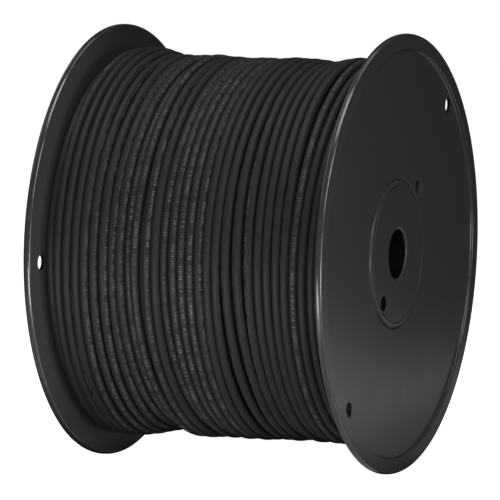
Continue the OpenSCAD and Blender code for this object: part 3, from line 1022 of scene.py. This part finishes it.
def cable_end(props, which, spot, length, materials, depth, back, mouth):
    """One cut end of the cable: its nipped jacket, the wires and their conductors.

    depth is how deep the jacket is open, back how far the wires stand back from its cut."""
    jacket, insulation, copper = materials
    points, faces = nipped_jacket(spot, length, depth, props.radius, props.jacket_wall, mouth)
    sleeve = add_piece(f"{which}_jacket_cut", points, faces, jacket, 50)
    room = props.radius - props.jacket_wall
    # The wires' radius, so that eight of them fit
    wire = room * 0.2
    low, cut = length - depth, length - back
    points, faces, tints = wire_rods(spot, low, cut, wire, room)
    wires = add_piece(f"{which}_wires", points, faces, insulation, 40)
    tint = wires.data.color_attributes.new("Tint", "FLOAT_COLOR", "CORNER")
    for face, colour in zip(wires.data.polygons, tints):
        for loop in face.loop_indices:
            tint.data[loop].color = (*colour, 1)
    cores = []
    rods = 2 * len(PAIR_ROWS)
    per_rod = len(points) // rods
    sides = 12
    # A conductor fills the middle of each wire's face and stands a little proud of it: height and size
    steps = ((-0.2 * MM, 0.62), (0.12 * MM, 0.62), (0.15 * MM, 0.5))
    for rod in range(1, rods + 1):
        middle = Vector(np.mean(points[rod * per_rod - WIRE_SIDES : rod * per_rod], 0))
        disc = []
        for h, size in steps:
            for a in circle(sides):
                turned = spot[1] * math.cos(a) + spot[2] * math.sin(a)
                disc.append(middle + turned * wire * size + spot[3] * h)
        cores.append((disc, tube_faces(len(steps), sides)))
    points, faces = joined(cores)
    conductors = add_piece(f"{which}_conductors", points, faces, copper, 30)
    prefix = "cable_" + which
    for piece, node, slot in (
        (sleeve, prefix + "_end", "cable_jacket"),
        (wires, which + "_insulation", "wire_insulation"),
        (conductors, which + "_copper", "conductor"),
    ):
        fix_facing(piece.data)
        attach(piece, "root")
        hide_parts(node)


def ready(name, make, *values):
    """The material of that name, made on first use"""
    return bpy.data.materials.get(name) or make(*values)


def paint_node(name, material):
    """Gives a CAD node a material in all its slots"""
    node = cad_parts[name]
    if not node.material_slots:
        node.data.materials.append(material)
    for slot in node.material_slots:
        slot.material = material


# ---- Studio ----


def area_light(name, place, aim, size, power):
    """A square light that the camera doesn't see"""
    data = bpy.data.lights.new(name, "AREA")
    data.size = size
    data.energy = power
    light = bpy.data.objects.new(name, data)
    light.location = place
    light.rotation_euler = (Vector(aim) - Vector(place)).to_track_quat("-Z", "Y").to_euler()
    light.visible_camera = False
    bpy.context.scene.collection.objects.link(light)


# Soft boxes that face the spool: name, place in metres, size and power
SOFT_BOXES = (
    ("front_high", (-0.50, -1.21, 0.92), 0.40, 2.0),
    ("near_front_low", (-0.30, -0.70, 0.00), 0.25, 0.46),
    ("near_front_high", (-0.60, -0.45, 0.50), 0.4, 1.47),
    ("near_left_low", (-0.35, -0.20, -0.05), 0.25, 0.084),
    ("overhead_left", (-0.20, 0.00, 0.80), 0.4, 3.12),
    ("overhead_right", (0.30, 0.00, 0.80), 0.4, 0.535),
    ("right_low", (1.385, 0.571, 0.079), 0.8, 0.34),
    ("right_high", (1.21, -0.50, 0.92), 0.8, 0.20),
    ("back_right_high", (0.50, 1.21, 0.92), 0.8, 1.72),
    ("back_left_high", (-0.50, 1.21, 0.92), 0.8, 1.82),
    ("strip_front", (-0.29, -0.46, -0.06), 0.12, 0.36),
    ("strip_left", (-0.387, 0.026, -0.100), 0.11, 0.48),
)
# Light that comes up through the table: place, size and power
TABLE_LIGHTS = (
    ((0.30, -0.38), 0.35, 0.255),
    ((-0.25, -0.25), 0.35, 0.07),
    ((-0.30, 0.15), 0.35, 0.16),
    ((-0.20, -0.10), 0.35, 0.12),
    ((-0.42, -0.10), 0.35, 0.60),
    ((0.25, -0.05), 0.35, 0.057),
)


# The picture is 500 pixels wide, and the spool's middle lies this many pixels off the picture's middle
PICTURE_WIDTH = 500
SHIFT_X, SHIFT_Y = -7.4, -3.5


def studio(props):
    """A pale light table, soft boxes all round and the camera"""
    scene = bpy.context.scene
    floor_z = CAD_BOX[0][2]
    half = 12.0
    points = [(-half, -half, floor_z), (half, -half, floor_z), (half, half, floor_z), (-half, half, floor_z)]
    s = Shader("light_table")
    tone = s.noise(s.place(), 3.0, 2.0)
    colour = s.mix(tone, opaque((0.80, 0.80, 0.80)), opaque((0.84, 0.84, 0.84)))
    glow = s.finish(Base_Color=colour, Roughness=0.8, Emission_Color=opaque((1, 1, 1)), Emission_Strength=1.0)
    floor = add_piece("light_table", points, [(0, 1, 2, 3)], glow)
    floor.visible_diffuse = False
    floor.visible_glossy = False
    floor.visible_shadow = False
    world = bpy.data.worlds.new("studio_white")
    scene.world = world
    world.use_nodes = True
    world.node_tree.nodes["Background"].inputs["Color"].default_value = (1, 1, 1, 1)
    world.cycles_visibility.diffuse = False
    world.cycles_visibility.glossy = False
    for name, place, size, power in SOFT_BOXES:
        area_light(name, place, (0, 0, 0), size, power * props.power)
    under = floor_z - 5 * MM
    for number, ((x, y), size, power) in enumerate(TABLE_LIGHTS):
        area_light(f"table_light_{number}", (x, y, under), (x, y, 1), size, power * props.power)
    data = bpy.data.cameras.new("camera")
    data.lens = props.lens
    data.sensor_width = 36
    data.shift_x, data.shift_y = SHIFT_X / PICTURE_WIDTH, SHIFT_Y / PICTURE_WIDTH
    data.clip_start, data.clip_end = 0.05, 60
    camera = bpy.data.objects.new("camera", data)
    a, e = props.azimuth, props.elevation
    away = Vector((math.sin(a) * math.cos(e), -math.cos(a) * math.cos(e), math.sin(e)))
    camera.location = away * props.distance
    camera.rotation_euler = (-away).to_track_quat("-Z", "Y").to_euler()
    scene.collection.objects.link(camera)
    scene.camera = camera
    scene.view_settings.view_transform = "Standard"


# ---- Operators, panel and registration ----


class SPOOL_OT_flanges(bpy.types.Operator):
    """Add both flanges"""

    bl_idname = "spool.flanges"
    bl_label = "Flanges"
    bl_options = {"REGISTER", "UNDO"}

    def execute(self, context):
        scene = context.scene
        materials = (reel_plastic(scene.reel), polished_plastic(scene.reel), shade_black_plastic(scene.reel))
        flange(scene.reel, materials, front=True, turn=math.radians(45))
        flange(scene.reel, materials, front=False, turn=0.0)
        return {"FINISHED"}


class SPOOL_OT_hub_discs(bpy.types.Operator):
    """Add both hub discs"""

    bl_idname = "spool.hub_discs"
    bl_label = "Hub discs"
    bl_options = {"REGISTER", "UNDO"}

    def execute(self, context):
        scene = context.scene
        body = ready("moulded_black", reel_plastic, scene.reel)
        materials = (body, ready("shade_black", shade_black_plastic, scene.reel))
        hub_disc(scene.reel, materials, front=True, turn=math.radians(228))
        hub_disc(scene.reel, materials, front=False, turn=math.radians(180))
        return {"FINISHED"}


class SPOOL_OT_barrel(bpy.types.Operator):
    """Finish the barrel and the arbor tube"""

    bl_idname = "spool.barrel"
    bl_label = "Barrel and arbor tube"
    bl_options = {"REGISTER", "UNDO"}

    def execute(self, context):
        scene = context.scene
        # Painted shade: both tubes are near black
        material = ready("shade_black", shade_black_plastic, scene.reel)
        paint_node("barrel_tube", material)
        paint_node("arbor_tube", material)
        return {"FINISHED"}


class SPOOL_OT_outer_layer(bpy.types.Operator):
    """Wind the layer of cable that shows"""

    bl_idname = "spool.outer_layer"
    bl_label = "Outer layer"
    bl_options = {"REGISTER", "UNDO"}

    def execute(self, context):
        scene = context.scene
        outer_layer(scene.cable, jacket_vinyl(scene.cable, True))
        return {"FINISHED"}


class SPOOL_OT_inner_layers(bpy.types.Operator):
    """Wind the layers of cable underneath"""

    bl_idname = "spool.inner_layers"
    bl_label = "Inner layers"
    bl_options = {"REGISTER", "UNDO"}

    def execute(self, context):
        scene = context.scene
        inner_layers(scene.cable, scene.reel, jacket_vinyl(scene.cable, False))
        return {"FINISHED"}


class SPOOL_OT_cable_ends(bpy.types.Operator):
    """Cut the cable's two ends, in the start hole and beside the back flange"""

    bl_idname = "spool.cable_ends"
    bl_label = "Cable ends"
    bl_options = {"REGISTER", "UNDO"}

    def execute(self, context):
        scene = context.scene
        cable = scene.cable
        jacket = ready("jacket_plain", jacket_vinyl, cable, False)
        materials = (jacket, wire_vinyl(), drawn_copper())
        foot = (START_LOW + START_HIGH) / 2
        foot.y = START_HIGH.y
        length = START_HIGH.y - START_LOW.y
        spot = (foot, Vector((1, 0, 0)), Vector((0, 0, 1)), Vector((0, -1, 0)))
        cable_end(cable, "start", spot, length, materials, depth=1.4 * MM, back=0.8 * MM, mouth=0.5)
        origin, ahead, outwards = finish_spot(cable)
        spot = (origin, Vector((0, 1, 0)), outwards, ahead)
        length = cable.end_length
        cable_end(cable, "finish", spot, length, materials, depth=3 * MM, back=0.3 * MM, mouth=0.6)
        return {"FINISHED"}


class SPOOL_OT_studio(bpy.types.Operator):
    """Add the floor, the lights and the camera"""

    bl_idname = "spool.studio"
    bl_label = "Studio"
    bl_options = {"REGISTER", "UNDO"}

    def execute(self, context):
        studio(context.scene.studio)
        return {"FINISHED"}


OPERATORS = (
    SPOOL_OT_flanges,
    SPOOL_OT_hub_discs,
    SPOOL_OT_barrel,
    SPOOL_OT_outer_layer,
    SPOOL_OT_inner_layers,
    SPOOL_OT_cable_ends,
    SPOOL_OT_studio,
)


class SPOOL_PT_panel(bpy.types.Panel):
    """Lists the spool's sizes and the steps that build it"""

    bl_idname = "SPOOL_PT_panel"
    bl_label = "Cable Spool"
    bl_space_type = "VIEW_3D"
    bl_region_type = "UI"
    bl_category = "Cable Spool"

    def draw(self, context):
        for group in (context.scene.reel, context.scene.cable, context.scene.studio):
            box = self.layout.box()
            for key in group.__annotations__:
                box.prop(group, key)
        for operator in OPERATORS:
            self.layout.operator(operator.bl_idname)


CLASSES = (ReelProperties, CableProperties, StudioProperties) + OPERATORS + (SPOOL_PT_panel,)


def register():
    """Adds the classes and the scene's three groups of properties"""
    for each in CLASSES:
        bpy.utils.register_class(each)
    bpy.types.Scene.reel = PointerProperty(type=ReelProperties)
    bpy.types.Scene.cable = PointerProperty(type=CableProperties)
    bpy.types.Scene.studio = PointerProperty(type=StudioProperties)


def unregister():
    """Takes the add-on out again"""
    for name in ("reel", "cable", "studio"):
        delattr(bpy.types.Scene, name)
    for each in reversed(CLASSES):
        bpy.utils.unregister_class(each)


def main():
    """Builds every piece"""
    register()
    for operator in OPERATORS:
        group, name = operator.bl_idname.split(".")
        getattr(getattr(bpy.ops, group), name)()


if __name__ == "__main__":
    main()
